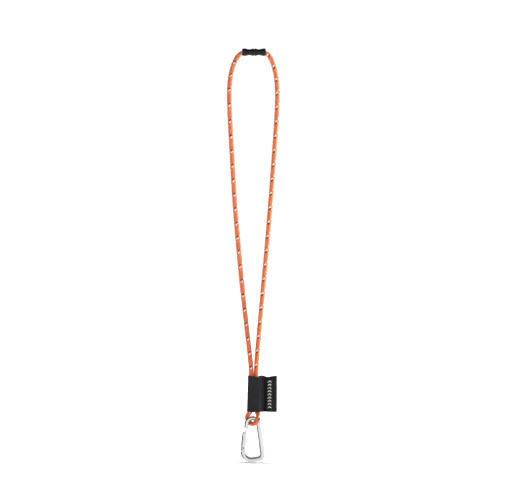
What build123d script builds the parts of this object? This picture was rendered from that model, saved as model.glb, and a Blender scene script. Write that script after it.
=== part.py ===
# Breakaway neck lanyard: one length of braided round cord hangs from a two-part
# breakaway clip, is gripped in a sewn sleeve with a side label, and runs on in a
# small loop that carries a snap-gate carabiner.
# Millimetres, +Z up. The lanyard hangs in the XZ plane and its front faces -Y.
# Origin: centre of the breakaway clip, on the clip's axis, where a neck or a peg
# carries the lanyard.
from build123d import *
import math
import os

os.makedirs("parts", exist_ok=True)

# ---------------------------------------------------------------- dimensions
CORD_D = 5.4            # braided cord

# clip: two turned-looking halves on the X axis
CLIP_END = 12.9         # half length
CLIP_R = 4.1            # bulb and flange radius
CLIP_WAIST_R = 3.2
CLIP_COLLAR_R = 3.7     # between the flanges
CLIP_PART_X = 0.45      # parting face
CLIP_GAP = 0.05         # between the two parting faces
POCKET_R = 3.15         # cord pocket in each bulb
POCKET_FLOOR_X = 7.2
POCKET_MOUTH_R = 3.48
BORE_R = 1.62           # socket for the stud
BORE_END_X = 6.3
STUD_R = 1.54
STUD_TIP_X = 5.9
STUD_NECK_R = 1.2
SLIT_W = 0.5            # lets the stud's fingers close up

# ferrules on the cord's two cut ends
FERRULE_R = 3.12
FERRULE_BORE_R = 2.75
FERRULE_L = 3.9

# sleeve and label
SLEEVE_TOP_Z = -352.4
SLEEVE_BOTTOM_Z = -391.7
SLEEVE_WALL = 0.75
SLEEVE_FRONT_TOP = 4.4  # half depth of the sleeve
SLEEVE_FRONT_BOTTOM = 5.4
SLEEVE_LEFT_TOP = -6.5
SLEEVE_LEFT_BOTTOM = -7.6
SEAM_Y = 1.25           # half thickness of the seam allowance
SEAM_IN_X = 8.4
SEAM_OUT_X = 10.6
FLAG_T = 1.0            # label, folded double
FLAG_SLIT = 0.53        # half width of the slit that it is sewn into
FLAG_TOP_Z = -352.8
FLAG_BOTTOM_Z = -391.9
FLAG_PATH = [(8.95, 0.0), (11.6, 0.0), (15.5, -3.7), (25.0, -0.9)]
STITCH_PITCH = 3.1
STITCH_L = 2.2
STITCH_COUNT = 12

# steel clamp round both legs, inside the sleeve
CRIMP_TOP_Z = -367.0
CRIMP_BOTTOM_Z = -376.0
CRIMP_WALL = 0.4
CRIMP_GAP = 0.1
LEG_LEFT_X = -2.95
LEG_RIGHT_X = 2.50
JOIN_Z = -371.5         # where the legs and the lower loop meet, inside the clamp

# carabiner
ROD_R = 2.5
BOW_R = 6.3             # centreline radius of the bow
BOW_C = (-1.42, -405.2)
LEAN = 0.137            # sideways lean of the back leg, per unit of height
CORNER_R = 5.3
HEEL_R = 9.4
NOSE_Z = -409.2         # where the round rod stops at the nose
BLADE_T = 2.0           # nose blade and hinge tongue
BLADE_GAP = 0.12        # each side of them
PIVOT = (-11.75, -431.6)
GATE_TOP = (-10.15, -413.6)
GATE_BELOW = 2.7        # gate below the pivot
SHOULDER_BELOW = 3.7    # the body's rod stops this far below the pivot
TONGUE_TOP = 1.6        # hinge tongue's flat top, above the pivot
HINGE_SLOT_TOP = 3.4    # the heights below are also above the pivot, along the gate
PLUNGER_TOP = 5.0
SPRING_TOP = 12.2
FORK_FLOOR = 13.4
RIVET_R = 1.0
RIVET_HEAD_R = 1.4
RIVET_HEAD_Y = (2.02, 2.45)
LATCH_PIN_R = 0.65
LATCH_PIN = (-9.05, -415.35)
PLUNGER_R = 1.05
SPRING_R = 0.84         # mean radius
SPRING_WIRE = 0.32

# ---------------------------------------------------------------- routes
# The cord's route, as (x, z) for the legs, which hang in the plane y = 0, from
# the clip down to the clamp, and (x, y, z) for the loop below the clamp.
LEG_LEFT = [
    (-7.3, 0.0), (-13.6, 0.0), (-18.75, -6.1), (-22.6, -14.4), (-25.7, -26.5),
    (-27.15, -43.0), (-26.25, -71.0), (-24.0, -110.0), (-21.35, -159.0),
    (-16.95, -212.5), (-11.95, -264.0), (-7.4, -305.0), (-4.6, -329.5),
    (-2.9, -346.0), (LEG_LEFT_X, -360.5), (LEG_LEFT_X, JOIN_Z),
]
LEG_RIGHT = [
    (7.3, 0.0), (13.6, 0.0), (18.45, -6.3), (21.7, -14.6), (24.4, -26.5),
    (25.85, -43.0), (24.95, -71.0), (22.15, -110.0), (18.6, -159.0),
    (14.2, -212.5), (9.45, -264.0), (5.7, -305.0), (3.5, -329.5),
    (2.46, -346.0), (LEG_RIGHT_X, -360.5), (LEG_RIGHT_X, JOIN_Z),
]
LOOP = [
    (LEG_LEFT_X, 0.0, JOIN_Z), (LEG_LEFT_X, 0.0, -377.4), (-3.2, 0.08, -384.8),
    (-3.8, 1.24, -393.05), (-7.19, 4.5, -395.61), (-7.46, 5.91, -400.38),
    (-5.21, 5.13, -404.1), (-2.15, 2.42, -405.43), (-1.02, -2.12, -404.86),
    (1.69, -5.07, -403.89), (4.48, -6.09, -400.6), (5.02, -4.9, -395.7),
    (2.99, -0.01, -392.02), (2.8, -0.08, -384.8), (LEG_RIGHT_X, 0.0, -377.4),
    (LEG_RIGHT_X, 0.0, JOIN_Z),
]


def bend_radii(points, share=0.45):
    """The radius at each corner of a route: as large as its two runs allow."""
    radii = []
    for a, b, c in zip(points[:-2], points[1:-1], points[2:]):
        before, after = Vector(*b) - Vector(*a), Vector(*c) - Vector(*b)
        half = math.radians(before.get_angle(after)) / 2
        radii.append(share * min(before.length, after.length) / math.tan(half))
    return radii


def cord_volume(path):
    return math.pi * (CORD_D / 2) ** 2 * path.length


# ---------------------------------------------------------------- the cord
leg_left_points = [(x, 0.0, z) for x, z in LEG_LEFT]
leg_right_points = [(x, 0.0, z) for x, z in LEG_RIGHT]

with BuildPart() as cord_left_leg:
    with BuildLine() as left_line:
        FilletPolyline(*leg_left_points, radius=bend_radii(leg_left_points))
    with BuildSketch(Plane(origin=leg_left_points[0], z_dir=(-1, 0, 0))):
        Circle(CORD_D / 2)
    sweep(path=left_line.wire())
cord_left_leg.part.label = "cord_left_leg"
export_step(cord_left_leg.part, "parts/cord_left_leg.step")

with BuildPart() as cord_right_leg:
    with BuildLine() as right_line:
        FilletPolyline(*leg_right_points, radius=bend_radii(leg_right_points))
    with BuildSketch(Plane(origin=leg_right_points[0], z_dir=(1, 0, 0))):
        Circle(CORD_D / 2)
    sweep(path=right_line.wire())
cord_right_leg.part.label = "cord_right_leg"
export_step(cord_right_leg.part, "parts/cord_right_leg.step")

with BuildPart() as cord_lower_loop:
    with BuildLine() as loop_line:
        FilletPolyline(*LOOP, radius=bend_radii(LOOP))
    with BuildSketch(Plane(origin=LOOP[0], z_dir=loop_line.wire() % 0)):
        Circle(CORD_D / 2)
    sweep(path=loop_line.wire())
cord_lower_loop.part.label = "cord_lower_loop"
export_step(cord_lower_loop.part, "parts/cord_lower_loop.step")

for name, points, line, piece in (
    ("left leg", leg_left_points, left_line, cord_left_leg),
    ("right leg", leg_right_points, right_line, cord_right_leg),
    ("lower loop", LOOP, loop_line, cord_lower_loop),
):
    print(
        f"{name}: length {line.wire().length:.1f} mm, radii",
        [round(r, 1) for r in bend_radii(points)],
        f"volume / (section x length) = {piece.part.volume / cord_volume(line.wire()):.4f}",
    )

# ---------------------------------------------------------------- the clip
# Outline of one half from the parting face to the cord's mouth, as (x, r).
def half_outline(sign, start_x, start_r):
    return [
        (sign * start_x, start_r),
        (sign * start_x, CLIP_COLLAR_R),
        (sign * 1.1, CLIP_COLLAR_R),
        (sign * 1.1, CLIP_R),
        (sign * 2.05, CLIP_R),
    ]


with BuildPart() as clip_plug_half:
    with BuildSketch(Plane.XZ):
        with BuildLine():
            Polyline(
                (POCKET_FLOOR_X * -1, 0), (0 + STUD_TIP_X, 0),
                (STUD_TIP_X, 0.95), (STUD_TIP_X - 0.6, STUD_R),
                (4.3, STUD_R), (3.9, STUD_NECK_R), (2.4, STUD_NECK_R),
                (2.1, STUD_R), (CLIP_PART_X, STUD_R),
                (CLIP_PART_X, CLIP_COLLAR_R), (-0.95, CLIP_COLLAR_R),
                (-0.95, CLIP_R - 0.25), (-1.15, CLIP_R - 0.05), (-1.6, CLIP_R - 0.05),
                (-2.2, CLIP_R - 0.3),
            )
            Spline(
                (-2.2, CLIP_R - 0.3), (-3.3, 3.42), (-5.3, CLIP_WAIST_R),
                (-7.2, 3.5), (-8.9, 3.95), (-10.3, CLIP_R), (-11.3, 4.04),
            )
            ThreePointArc((-11.3, 4.04), (-12.35, 3.82), (-CLIP_END, POCKET_MOUTH_R))
            ThreePointArc((-CLIP_END, POCKET_MOUTH_R), (-12.35, 3.28), (-11.5, POCKET_R))
            Polyline((-11.5, POCKET_R), (-POCKET_FLOOR_X, POCKET_R), (-POCKET_FLOOR_X, 0))
        make_face()
    revolve(axis=Axis.X)
    # the slit that splits the stud into two spring fingers
    with BuildSketch(Plane.XZ):
        with Locations(((1.6 + STUD_TIP_X + 1) / 2, 0)):
            Rectangle(STUD_TIP_X + 1 - 1.6, SLIT_W)
    extrude(amount=3, both=True, mode=Mode.SUBTRACT)
clip_plug_half.part.label = "clip_plug_half"
export_step(clip_plug_half.part, "parts/clip_plug_half.step")

with BuildPart() as clip_socket_half:
    with BuildSketch(Plane.XZ):
        with BuildLine():
            Polyline(
                (POCKET_FLOOR_X, 0), (BORE_END_X, 0), (BORE_END_X, BORE_R),
                (5.5, BORE_R), (5.3, BORE_R + 0.22), (4.2, BORE_R + 0.22),
                (4.0, BORE_R), (CLIP_PART_X + CLIP_GAP + 0.3, BORE_R),
                (CLIP_PART_X + CLIP_GAP, BORE_R + 0.3),
                (CLIP_PART_X + CLIP_GAP, CLIP_COLLAR_R), (1.2, CLIP_COLLAR_R),
                (1.2, CLIP_R - 0.2), (1.4, CLIP_R + 0.05), (1.85, CLIP_R + 0.05),
                (2.5, CLIP_R - 0.3),
            )
            Spline(
                (2.5, CLIP_R - 0.3), (3.6, 3.42), (5.8, CLIP_WAIST_R),
                (7.6, 3.5), (9.2, 3.95), (10.6, CLIP_R), (11.4, 4.04),
            )
            ThreePointArc((11.4, 4.04), (12.4, 3.82), (CLIP_END, POCKET_MOUTH_R))
            ThreePointArc((CLIP_END, POCKET_MOUTH_R), (12.35, 3.28), (11.5, POCKET_R))
            Polyline((11.5, POCKET_R), (POCKET_FLOOR_X, POCKET_R), (POCKET_FLOOR_X, 0))
        make_face()
    revolve(axis=Axis.X)
clip_socket_half.part.label = "clip_socket_half"
export_step(clip_socket_half.part, "parts/clip_socket_half.step")


def ferrule_sketch():
    Circle(FERRULE_R)
    Circle(FERRULE_BORE_R, mode=Mode.SUBTRACT)


with BuildPart() as ferrule_left:
    with BuildSketch(Plane.YZ.offset(-POCKET_FLOOR_X - 0.05)):
        ferrule_sketch()
    extrude(amount=-FERRULE_L)
    chamfer(ferrule_left.edges().filter_by(GeomType.CIRCLE).group_by(SortBy.RADIUS)[-1], 0.12)
ferrule_left.part.label = "ferrule_left"
export_step(ferrule_left.part, "parts/ferrule_left.step")

with BuildPart() as ferrule_right:
    with BuildSketch(Plane.YZ.offset(POCKET_FLOOR_X + 0.05)):
        ferrule_sketch()
    extrude(amount=FERRULE_L)
    chamfer(ferrule_right.edges().filter_by(GeomType.CIRCLE).group_by(SortBy.RADIUS)[-1], 0.12)
ferrule_right.part.label = "ferrule_right"
export_step(ferrule_right.part, "parts/ferrule_right.step")

# ---------------------------------------------------------------- clamp and sleeve
with BuildPart() as crimp_clamp:
    with BuildSketch(Plane.XY.offset(CRIMP_BOTTOM_Z)):
        with Locations(((LEG_LEFT_X + LEG_RIGHT_X) / 2, 0)):
            SlotCenterToCenter(LEG_RIGHT_X - LEG_LEFT_X, 2 * (CORD_D / 2 + CRIMP_GAP + CRIMP_WALL))
            SlotCenterToCenter(LEG_RIGHT_X - LEG_LEFT_X, 2 * (CORD_D / 2 + CRIMP_GAP), mode=Mode.SUBTRACT)
    extrude(amount=CRIMP_TOP_Z - CRIMP_BOTTOM_Z)
crimp_clamp.part.label = "crimp_clamp"
export_step(crimp_clamp.part, "parts/crimp_clamp.step")


def sleeve_outline(left, deep, inset=0.0):
    """Plan outline of the sleeve, at one height: round the cords, then in to the seam."""
    w = inset
    return [
        (left + w, 0.0),
        (left + w, -deep + w + 0.25),
        (5.7 - 0.35 * w, -deep + w),
        (SEAM_IN_X - 0.55 * w, -SEAM_Y + (SEAM_Y - FLAG_SLIT if w else 0)),
        (SEAM_OUT_X, -SEAM_Y + (SEAM_Y - FLAG_SLIT if w else 0)),
        (SEAM_OUT_X, SEAM_Y - (SEAM_Y - FLAG_SLIT if w else 0)),
        (SEAM_IN_X - 0.55 * w, SEAM_Y - (SEAM_Y - FLAG_SLIT if w else 0)),
        (5.7 - 0.35 * w, deep - w),
        (left + w, deep - w - 0.25),
    ]


def sleeve_section(z, left, deep, inset):
    """One closed plan section of the sleeve as a sketch, its corners rounded."""
    with BuildSketch(Plane.XY.offset(z)) as section:
        with BuildLine():
            Polyline(*sleeve_outline(left, deep, inset), close=True)
        make_face()
        corners = section.vertices()
        big = [v for v in corners if abs(v.Y) > 2.5 and v.X < 0]
        shoulder = [v for v in corners if abs(v.Y) > 2.5 and v.X > 0]
        fillet(big, 3.3 - inset)
        fillet(shoulder, 2.2 - inset)
        throat = [v for v in section.vertices() if abs(v.Y) < 1.4 and 7.0 < v.X < 9.0]
        fillet(throat, 0.6 if not inset else 1.2)
    return section.sketch


outer_low = sleeve_section(SLEEVE_BOTTOM_Z, SLEEVE_LEFT_BOTTOM, SLEEVE_FRONT_BOTTOM, 0.0)
outer_high = sleeve_section(SLEEVE_TOP_Z, SLEEVE_LEFT_TOP, SLEEVE_FRONT_TOP, 0.0)
inner_low = sleeve_section(SLEEVE_BOTTOM_Z, SLEEVE_LEFT_BOTTOM, SLEEVE_FRONT_BOTTOM, SLEEVE_WALL)
inner_high = sleeve_section(SLEEVE_TOP_Z, SLEEVE_LEFT_TOP, SLEEVE_FRONT_TOP, SLEEVE_WALL)

with BuildPart() as sleeve_wrap:
    loft([outer_low.face(), outer_high.face()], ruled=True)
    loft([inner_low.face(), inner_high.face()], ruled=True, mode=Mode.SUBTRACT)
sleeve_wrap.part.label = "sleeve_wrap"
export_step(sleeve_wrap.part, "parts/sleeve_wrap.step")

with BuildPart() as label_flag:
    with BuildSketch(Plane.XY.offset(FLAG_BOTTOM_Z)):
        with BuildLine() as flag_line:
            FilletPolyline(*FLAG_PATH, radius=[3.2, 3.4])
        trace(line_width=FLAG_T)
    extrude(amount=FLAG_TOP_Z - FLAG_BOTTOM_Z)
label_flag.part.label = "label_flag"
export_step(label_flag.part, "parts/label_flag.step")

# Raised woven mark on the label's front: a plain column of chevrons.
mark_a, mark_b = Vector(*FLAG_PATH[2], 0), Vector(*FLAG_PATH[3], 0)
mark_dir = (mark_b - mark_a).normalized()
mark_out = Vector(mark_dir.Y, -mark_dir.X, 0)
if mark_out.Y > 0:
    mark_out = -mark_out
MARK_W, MARK_STEP, MARK_COUNT, MARK_T = 3.5, 3.5, 9, 0.14
mark_mid = mark_a + mark_dir * 4.1 + mark_out * (FLAG_T / 2) + Vector(0, 0, -372.8)
with BuildPart() as label_mark:
    with BuildSketch(Plane(origin=mark_mid, x_dir=mark_dir, z_dir=mark_out)):
        with GridLocations(1, MARK_STEP, 1, MARK_COUNT):
            Polygon(
                (-MARK_W / 2, -1.25), (0, 0.35), (MARK_W / 2, -1.25),
                (MARK_W / 2, -0.15), (0, 1.45), (-MARK_W / 2, -0.15),
                align=None,
            )
    extrude(amount=MARK_T)
label_mark.part.label = "label_mark"
export_step(label_mark.part, "parts/label_mark.step")

# Lock stitches through the seam allowance, front row and back row.
with BuildPart() as seam_stitching:
    stitch_x = (SEAM_IN_X + SEAM_OUT_X) / 2 + 0.1
    stitch_z = (SLEEVE_TOP_Z + SLEEVE_BOTTOM_Z) / 2
    for side in (-1, 1):
        with BuildSketch(Plane(origin=(stitch_x, side * SEAM_Y, stitch_z), x_dir=(1, 0, 0), z_dir=(0, side, 0))):
            with GridLocations(1, STITCH_PITCH, 1, STITCH_COUNT):
                SlotOverall(STITCH_L, 0.5, rotation=90)
        extrude(amount=0.28)
seam_stitching.part.label = "seam_stitching"
export_step(seam_stitching.part, "parts/seam_stitching.step")

# ---------------------------------------------------------------- the carabiner
lean_len = math.hypot(1, LEAN)
right_n = Vector(1 / lean_len, 0, LEAN / lean_len)       # across the back leg
left_n = Vector(-1 / lean_len, 0, LEAN / lean_len)
bow_c = Vector(BOW_C[0], 0, BOW_C[1])
bow_right = bow_c + right_n * BOW_R
bow_left = bow_c + left_n * BOW_R
bow_top = bow_c + Vector(0, 0, BOW_R)
nose_end = Vector(bow_left.X - LEAN * (bow_left.Z - NOSE_Z), 0, NOSE_Z)
toe = Vector(bow_right.X + LEAN * (bow_right.Z + 442.2), 0, -442.2)
heel = Vector(-11.3, 0, toe.Z - 0.165 * (toe.X + 11.3))
pivot = Vector(PIVOT[0], 0, PIVOT[1])
gate_top = Vector(GATE_TOP[0], 0, GATE_TOP[1])
gate_dir = (gate_top - pivot).normalized()
gate_side = Vector(gate_dir.Z, 0, -gate_dir.X)           # towards the inside
shoulder = pivot - gate_dir * SHOULDER_BELOW
front = Plane(origin=(0, 0, 0), x_dir=(1, 0, 0), z_dir=(0, -1, 0))       # (x, z)
hinge_front = Plane(origin=pivot, x_dir=gate_side, z_dir=(0, -1, 0))     # (across, along the gate)


def gate_section(height):
    """The plane across the gate, so far above the pivot."""
    return Plane(origin=pivot + gate_dir * height, x_dir=gate_side, z_dir=gate_dir)


with BuildPart() as carabiner_body:
    with BuildLine() as body_line:
        Line(nose_end, bow_left)
        ThreePointArc(bow_left, bow_top, bow_right)
        FilletPolyline(bow_right, toe, heel, shoulder, radius=[CORNER_R, HEEL_R])
    with BuildSketch(Plane(origin=nose_end, z_dir=bow_left - nose_end)):
        Circle(ROD_R)
    sweep(path=body_line.wire())
    chamfer(carabiner_body.edges().filter_by(GeomType.CIRCLE).sort_by_distance(nose_end)[0], 0.45)
    chamfer(carabiner_body.edges().filter_by(GeomType.CIRCLE).sort_by_distance(shoulder)[0], 0.45)
    # nose: a flat hooked blade that the gate's forked top closes round
    with BuildSketch(front) as nose_sketch:
        with BuildLine():
            Polyline(
                (-10.2, -408.2), (-6.4, -408.2), (-6.4, -410.2), (-7.1, -412.1),
                (-8.4, -413.5), (-9.5, -414.3), (-9.85, -415.1), (-9.8, -415.9),
                (-9.45, -416.6), (-9.9, -417.5), (-11.2, -417.7), (-11.85, -416.9),
                (-11.85, -414.5), (-10.6, -413.1), (-9.0, -412.0), (-8.7, -410.6),
                (-9.4, -409.7), (-10.2, -409.3),
                close=True,
            )
        make_face()
        fillet(nose_sketch.vertices().filter_by(lambda v: v.Z < -409.5), 0.15)
    extrude(amount=BLADE_T / 2, both=True)
    # hinge tongue with a flat top for the spring plunger
    with BuildSketch(hinge_front) as tongue_sketch:
        with BuildLine():
            Polyline(
                (-1.75, -5.2), (1.75, -5.2), (1.75, 1.1), (1.25, TONGUE_TOP),
                (-1.25, TONGUE_TOP), (-1.75, 1.1),
                close=True,
            )
        make_face()
    extrude(amount=BLADE_T / 2, both=True)
    with BuildSketch(hinge_front):
        Circle(RIVET_R + 0.04)
    extrude(amount=4, both=True, mode=Mode.SUBTRACT)
carabiner_body.part.label = "carabiner_body"
export_step(carabiner_body.part, "parts/carabiner_body.step")

with BuildPart() as gate:
    with BuildSketch(gate_section(-GATE_BELOW)):
        Circle(ROD_R)
    extrude(amount=(gate_top - pivot).length + GATE_BELOW)
    chamfer(gate.edges().filter_by(GeomType.CIRCLE), 0.4)
    # slot for the hinge tongue
    with BuildSketch(hinge_front):
        with Locations((0, (HINGE_SLOT_TOP - 5) / 2)):
            Rectangle(7, HINGE_SLOT_TOP + 5)
    extrude(amount=BLADE_T / 2 + BLADE_GAP, both=True, mode=Mode.SUBTRACT)
    # fork that closes round the nose blade
    with BuildSketch(hinge_front):
        with Locations((0, (FORK_FLOOR + 20) / 2)):
            Rectangle(7, 20 - FORK_FLOOR)
    extrude(amount=BLADE_T / 2 + BLADE_GAP, both=True, mode=Mode.SUBTRACT)
    # bore for the plunger and its spring
    with BuildSketch(gate_section(HINGE_SLOT_TOP - 0.4)):
        Circle(PLUNGER_R + 0.08)
    extrude(amount=SPRING_TOP + 0.05 - HINGE_SLOT_TOP + 0.4, mode=Mode.SUBTRACT)
    # holes for the rivet, its heads and the latch pin
    with BuildSketch(hinge_front):
        Circle(RIVET_R + 0.04)
    extrude(amount=4, both=True, mode=Mode.SUBTRACT)
    for side in (-1, 1):
        with BuildSketch(Plane(origin=pivot + Vector(0, side * (RIVET_HEAD_Y[0] - 0.02), 0), z_dir=(0, side, 0))):
            Circle(RIVET_HEAD_R + 0.1)
        extrude(amount=3, mode=Mode.SUBTRACT)
    with BuildSketch(front):
        with Locations(LATCH_PIN):
            Circle(LATCH_PIN_R)
    extrude(amount=4, both=True, mode=Mode.SUBTRACT)
gate.part.label = "gate"
export_step(gate.part, "parts/gate.step")

with BuildPart() as hinge_rivet:
    with BuildSketch(hinge_front):
        Circle(RIVET_R)
    extrude(amount=RIVET_HEAD_Y[0], both=True)
    for side in (-1, 1):
        with BuildSketch(Plane(origin=pivot + Vector(0, side * RIVET_HEAD_Y[0], 0), z_dir=(0, side, 0))):
            Circle(RIVET_HEAD_R)
        extrude(amount=RIVET_HEAD_Y[1] - RIVET_HEAD_Y[0])
    rims = hinge_rivet.edges().filter_by(GeomType.CIRCLE).filter_by(
        lambda e: abs(abs(e.center().Y) - RIVET_HEAD_Y[1]) < 0.01
    )
    fillet(rims, 0.3)
hinge_rivet.part.label = "hinge_rivet"
export_step(hinge_rivet.part, "parts/hinge_rivet.step")

with BuildPart() as latch_pin:
    with BuildSketch(front):
        with Locations(LATCH_PIN):
            Circle(LATCH_PIN_R)
    extrude(amount=2.1, both=True)
    chamfer(latch_pin.edges().filter_by(GeomType.CIRCLE), 0.12)
latch_pin.part.label = "latch_pin"
export_step(latch_pin.part, "parts/latch_pin.step")

with BuildPart() as spring_plunger:
    with BuildSketch(gate_section(TONGUE_TOP + 0.04)):
        Circle(PLUNGER_R)
    extrude(amount=PLUNGER_TOP - TONGUE_TOP - 0.04)
    chamfer(spring_plunger.edges().filter_by(GeomType.CIRCLE), 0.15)
spring_plunger.part.label = "spring_plunger"
export_step(spring_plunger.part, "parts/spring_plunger.step")

spring_from = PLUNGER_TOP + SPRING_WIRE / 2 + 0.02
spring_to = SPRING_TOP - SPRING_WIRE / 2 - 0.02
with BuildPart() as gate_spring:
    with BuildLine() as coil:
        Helix(
            pitch=(spring_to - spring_from) / 9, height=spring_to - spring_from, radius=SPRING_R,
            center=pivot + gate_dir * spring_from, direction=gate_dir,
        )
    with BuildSketch(Plane(origin=coil.wire() @ 0, z_dir=coil.wire() % 0)):
        Circle(SPRING_WIRE / 2)
    sweep(path=coil.wire(), is_frenet=True)
gate_spring.part.label = "gate_spring"
export_step(gate_spring.part, "parts/gate_spring.step")
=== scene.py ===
import math

import bmesh
import bpy
import numpy as np
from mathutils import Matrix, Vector


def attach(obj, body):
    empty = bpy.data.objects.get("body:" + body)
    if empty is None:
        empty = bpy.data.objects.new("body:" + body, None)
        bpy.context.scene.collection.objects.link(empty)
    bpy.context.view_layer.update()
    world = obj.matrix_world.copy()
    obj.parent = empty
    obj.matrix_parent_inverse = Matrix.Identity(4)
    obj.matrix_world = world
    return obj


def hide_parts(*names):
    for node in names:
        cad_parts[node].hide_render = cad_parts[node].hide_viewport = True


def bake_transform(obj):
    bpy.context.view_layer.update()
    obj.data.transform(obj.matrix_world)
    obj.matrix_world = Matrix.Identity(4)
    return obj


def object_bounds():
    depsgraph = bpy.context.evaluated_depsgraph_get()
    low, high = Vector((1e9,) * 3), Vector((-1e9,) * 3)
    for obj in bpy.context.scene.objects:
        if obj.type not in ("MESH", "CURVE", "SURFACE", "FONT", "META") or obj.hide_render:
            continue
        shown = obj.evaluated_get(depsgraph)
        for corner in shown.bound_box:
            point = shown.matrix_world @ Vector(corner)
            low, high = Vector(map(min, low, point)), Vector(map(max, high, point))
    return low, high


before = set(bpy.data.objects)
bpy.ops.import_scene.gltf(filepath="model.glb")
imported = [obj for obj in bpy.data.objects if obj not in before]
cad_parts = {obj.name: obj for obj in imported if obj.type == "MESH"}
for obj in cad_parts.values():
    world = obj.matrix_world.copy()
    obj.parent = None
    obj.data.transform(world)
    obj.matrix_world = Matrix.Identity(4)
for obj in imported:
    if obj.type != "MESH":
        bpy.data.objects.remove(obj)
cad_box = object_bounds()
scene = bpy.context.scene
rng = np.random.default_rng(7)

# ------------------------------------------------------------------ camera
cam_data = bpy.data.cameras.new("camera")
cam_data.sensor_width = 36.0
cam_data.lens = 130.8
cam_data.clip_start, cam_data.clip_end = 0.05, 40.0
cam = bpy.data.objects.new("camera", cam_data)
scene.collection.objects.link(cam)
cam.location = (-0.00158, -2.0, -0.2156)
cam.rotation_euler = (math.radians(90), 0, 0)
scene.camera = cam
scene.view_settings.view_transform = "Standard"
scene.view_settings.look = "None"
scene.view_settings.exposure = 0.0
scene.view_settings.gamma = 1.0


# ------------------------------------------------------------------ node helpers
def new_material(name):
    material = bpy.data.materials.new(name)
    material.use_nodes = True
    tree = material.node_tree
    tree.nodes.clear()
    out = tree.nodes.new("ShaderNodeOutputMaterial")
    shader = tree.nodes.new("ShaderNodeBsdfPrincipled")
    tree.links.new(shader.outputs["BSDF"], out.inputs["Surface"])
    return material, tree, shader


def math_node(tree, operation, a, b=None, c=None, clamp=False):
    node = tree.nodes.new("ShaderNodeMath")
    node.operation = operation
    node.use_clamp = clamp
    for socket, value in zip(node.inputs, (a, b, c)):
        if value is None:
            continue
        if isinstance(value, bpy.types.NodeSocket):
            tree.links.new(value, socket)
        else:
            socket.default_value = value
    return node.outputs[0]


def mix_colour(tree, factor, a, b, blend="MIX"):
    node = tree.nodes.new("ShaderNodeMix")
    node.data_type = "RGBA"
    node.blend_type = blend
    node.clamp_factor = True
    sockets = {s.identifier: s for s in node.inputs}
    for key, value in (
        ("Factor_Float", factor),
        ("A_Color", a),
        ("B_Color", b),
    ):
        if isinstance(value, bpy.types.NodeSocket):
            tree.links.new(value, sockets[key])
        elif key == "Factor_Float":
            sockets[key].default_value = value
        else:
            sockets[key].default_value = (*value, 1.0)
    return next(o for o in node.outputs if o.identifier == "Result_Color")


def noise(tree, vector, scale, detail=3.0, rough=0.5, kind="ShaderNodeTexNoise"):
    node = tree.nodes.new(kind)
    node.inputs["Scale"].default_value = scale
    if "Detail" in node.inputs:
        node.inputs["Detail"].default_value = detail
        node.inputs["Roughness"].default_value = rough
    if vector is not None:
        tree.links.new(vector, node.inputs["Vector"])
    return node


def ramp(tree, value, stops):
    node = tree.nodes.new("ShaderNodeValToRGB")
    elements = node.color_ramp.elements
    while len(elements) < len(stops):
        elements.new(0.5)
    for element, (position, colour) in zip(elements, stops):
        element.position = position
        element.color = (*colour, 1.0) if len(colour) == 3 else colour
    tree.links.new(value, node.inputs["Fac"])
    return node.outputs["Color"]


def attribute(tree, name):
    node = tree.nodes.new("ShaderNodeAttribute")
    node.attribute_name = name
    return node.outputs["Fac"]


def object_vector(tree, scale=(1, 1, 1), rotation=(0, 0, 0)):
    coordinates = tree.nodes.new("ShaderNodeTexCoord")
    mapping = tree.nodes.new("ShaderNodeMapping")
    mapping.inputs["Scale"].default_value = scale
    mapping.inputs["Rotation"].default_value = rotation
    tree.links.new(coordinates.outputs["Object"], mapping.inputs["Vector"])
    return mapping.outputs["Vector"]


def bump(tree, shader, height, distance, strength=1.0):
    node = tree.nodes.new("ShaderNodeBump")
    node.inputs["Distance"].default_value = distance
    node.inputs["Strength"].default_value = strength
    tree.links.new(height, node.inputs["Height"])
    tree.links.new(node.outputs["Normal"], shader.inputs["Normal"])
    return node


def new_object(name, mesh):
    o = bpy.data.objects.new(name, mesh)
    scene.collection.objects.link(o)
    return o


def mesh_from(name, points, faces, smooth=True):
    mesh = bpy.data.meshes.new(name)
    mesh.from_pydata([tuple(p) for p in points], [], faces)
    mesh.update()
    if smooth:
        mesh.shade_smooth()
    return new_object(name, mesh)


def set_attribute(o, name, values):
    data = o.data.attributes.new(name, "FLOAT", "POINT")
    data.data.foreach_set("value", np.asarray(values, np.float32))


def paint(o, material):
    o.data.materials.clear()
    o.data.materials.append(material)


# ------------------------------------------------------------------ the cord's routes
LEG_LEFT = [
    (-0.0073, 0, 0), (-0.0136, 0, 0), (-0.01875, 0, -0.0061), (-0.0226, 0, -0.0144),
    (-0.0257, 0, -0.0265), (-0.02715, 0, -0.043), (-0.02625, 0, -0.071),
    (-0.024, 0, -0.11), (-0.02135, 0, -0.159), (-0.01695, 0, -0.2125),
    (-0.01195, 0, -0.264), (-0.0074, 0, -0.305), (-0.0046, 0, -0.3295),
    (-0.0029, 0, -0.346), (-0.00295, 0, -0.3605), (-0.00295, 0, -0.3715),
]
LEG_RIGHT = [
    (0.0073, 0, 0), (0.0136, 0, 0), (0.01845, 0, -0.0063), (0.0217, 0, -0.0146),
    (0.0244, 0, -0.0265), (0.02585, 0, -0.043), (0.02495, 0, -0.071),
    (0.02215, 0, -0.11), (0.0186, 0, -0.159), (0.0142, 0, -0.2125),
    (0.00945, 0, -0.264), (0.0057, 0, -0.305), (0.0035, 0, -0.3295),
    (0.00246, 0, -0.346), (0.0025, 0, -0.3605), (0.0025, 0, -0.3715),
]
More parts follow.
